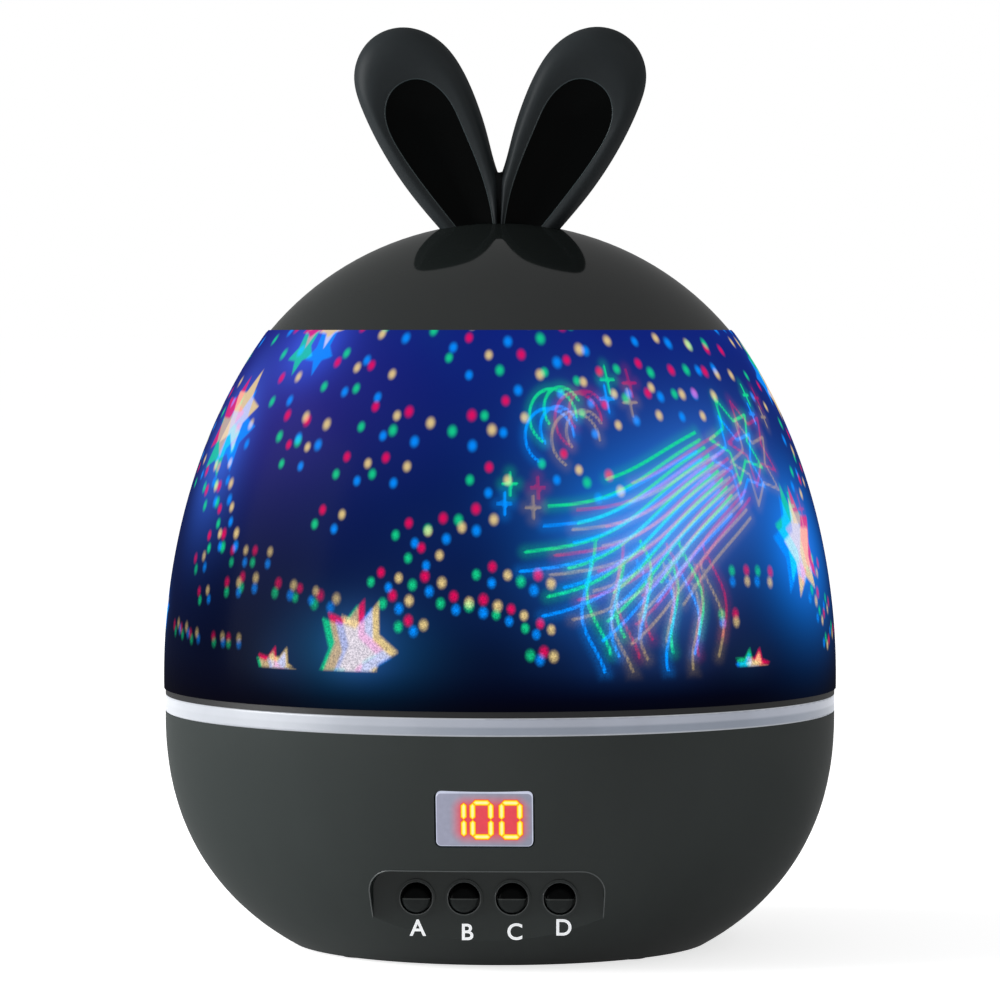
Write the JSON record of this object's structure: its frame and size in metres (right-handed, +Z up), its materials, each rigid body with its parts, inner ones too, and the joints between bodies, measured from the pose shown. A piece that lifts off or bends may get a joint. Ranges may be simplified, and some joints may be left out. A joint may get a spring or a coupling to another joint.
{
  "type": "star night light projector",
  "caption": "Egg-shaped night light with rabbit ears that turns a film drum over coloured lamps to throw stars on its shade, with a digital display and buttons.",
  "frame": {"origin": "on the surface that it stands on, under the middle of the body", "axes": "+Z up; the display and the buttons face -Y; +X to the right seen from the front"},
  "size_m": [0.1244, 0.1244, 0.1691],
  "materials": {
    "shell_gloss": "high gloss dark grey",
    "ear_satin": "satin dark grey",
    "ear_face": "gloss black",
    "shade_frost": "translucent, lit from inside",
    "ring_white": "translucent white, lit",
    "black_plastic": "fine texture",
    "white_plastic": "fine texture",
    "film_clear": "clear film and dome",
    "window_smoke": "smoked clear",
    "display_face": "grey face",
    "button_gloss": "gloss",
    "board_green": "solder mask",
    "board_white": "white solder mask",
    "steel": "plated",
    "spring_steel": "nickel plated",
    "brass": "machined",
    "nylon": "natural nylon",
    "acetal": "acetal",
    "rubber_grey": "soft",
    "cell_jacket": "shrink sleeve",
    "wire": "insulated wire",
    "lamp_red": "lens",
    "lamp_green": "lens",
    "lamp_blue": "lens",
    "lamp_warm": "lens"
  },
  "bodies": {
    "base": {"base_housing": "shell_gloss", "light_ring": "ring_white", "ring_board": "board_white", "ring_leds": "lamp_warm", "top_deck": "black_plastic", "deck_screws": "steel", "spindle": "acetal", "spindle_screws": "steel", "thrust_washer": "nylon", "led_board": "board_white", "led_red": "lamp_red", "led_green": "lamp_green", "led_blue": "lamp_blue", "led_warm": "lamp_warm", "led_lead": "wire", "motor_can": "steel", "gearbox": "black_plastic", "motor_screws": "steel", "motor_leads": "wire", "main_board": "board_green", "usb_socket": "steel", "display_window": "window_smoke", "display_module": "display_face", "display_board": "board_green", "button_board": "board_green", "switch_bodies": "black_plastic", "bottom_cover": "black_plastic", "cover_screws": "steel", "rubber_feet": "rubber_grey", "battery_cells": "cell_jacket", "battery_springs": "spring_steel", "battery_plates": "spring_steel", "battery_leads": "wire"},
    "cover": {"ear_left": "ear_satin", "ear_right": "ear_satin", "ear_inlay_left": "ear_face", "ear_inlay_right": "ear_face", "ear_screws": "steel", "top_cap": "shell_gloss", "projection_shade": "shade_frost", "shade_collar": "black_plastic"},
    "drum": {"turntable": "white_plastic", "turntable_bush": "brass", "film_holder": "black_plastic", "film_sheet": "film_clear", "film_dome": "film_clear"},
    "pinion": {"motor_shaft": "steel", "motor_pinion": "nylon"},
    "door": {"battery_door": "black_plastic", "door_screw": "steel"},
    "button_a": {"button_a": "button_gloss", "plunger_a": "black_plastic"},
    "button_b": {"button_b": "button_gloss", "plunger_b": "black_plastic"},
    "button_c": {"button_c": "button_gloss", "plunger_c": "black_plastic"},
    "button_d": {"button_d": "button_gloss", "plunger_d": "black_plastic"}
  },
  "joints": [
    {"name": "cover_lift", "type": "slide", "parent": "base", "child": "cover", "axis": [0, 0, 1], "range_m": [0, 0.09]},
    {"name": "drum_spin", "type": "hinge", "parent": "base", "child": "drum", "pos_m": [0, 0, 0.05], "axis": [0, 0, 1], "continuous": true},
    {"name": "pinion_spin", "type": "hinge", "parent": "base", "child": "pinion", "pos_m": [0.0375, 0, 0.046], "axis": [0, 0, 1], "continuous": true},
    {"name": "door_swing", "type": "hinge", "parent": "base", "child": "door", "pos_m": [0, -0.0239, 0.0011], "axis": [-1, 0, 0], "range_deg": [0, 40]},
    {"name": "press_a", "type": "slide", "parent": "base", "child": "button_a", "axis": [0, 1, 0], "range_m": [0, 0.0006], "stiffness_N_per_m": 600},
    {"name": "press_b", "type": "slide", "parent": "base", "child": "button_b", "axis": [0, 1, 0], "range_m": [0, 0.0006], "stiffness_N_per_m": 600},
    {"name": "press_c", "type": "slide", "parent": "base", "child": "button_c", "axis": [0, 1, 0], "range_m": [0, 0.0006], "stiffness_N_per_m": 600},
    {"name": "press_d", "type": "slide", "parent": "base", "child": "button_d", "axis": [0, 1, 0], "range_m": [0, 0.0006], "stiffness_N_per_m": 600}
  ],
  "couplings": [
    {"joint": "pinion_spin", "follows": "drum_spin", "ratio": -4}
  ]
}
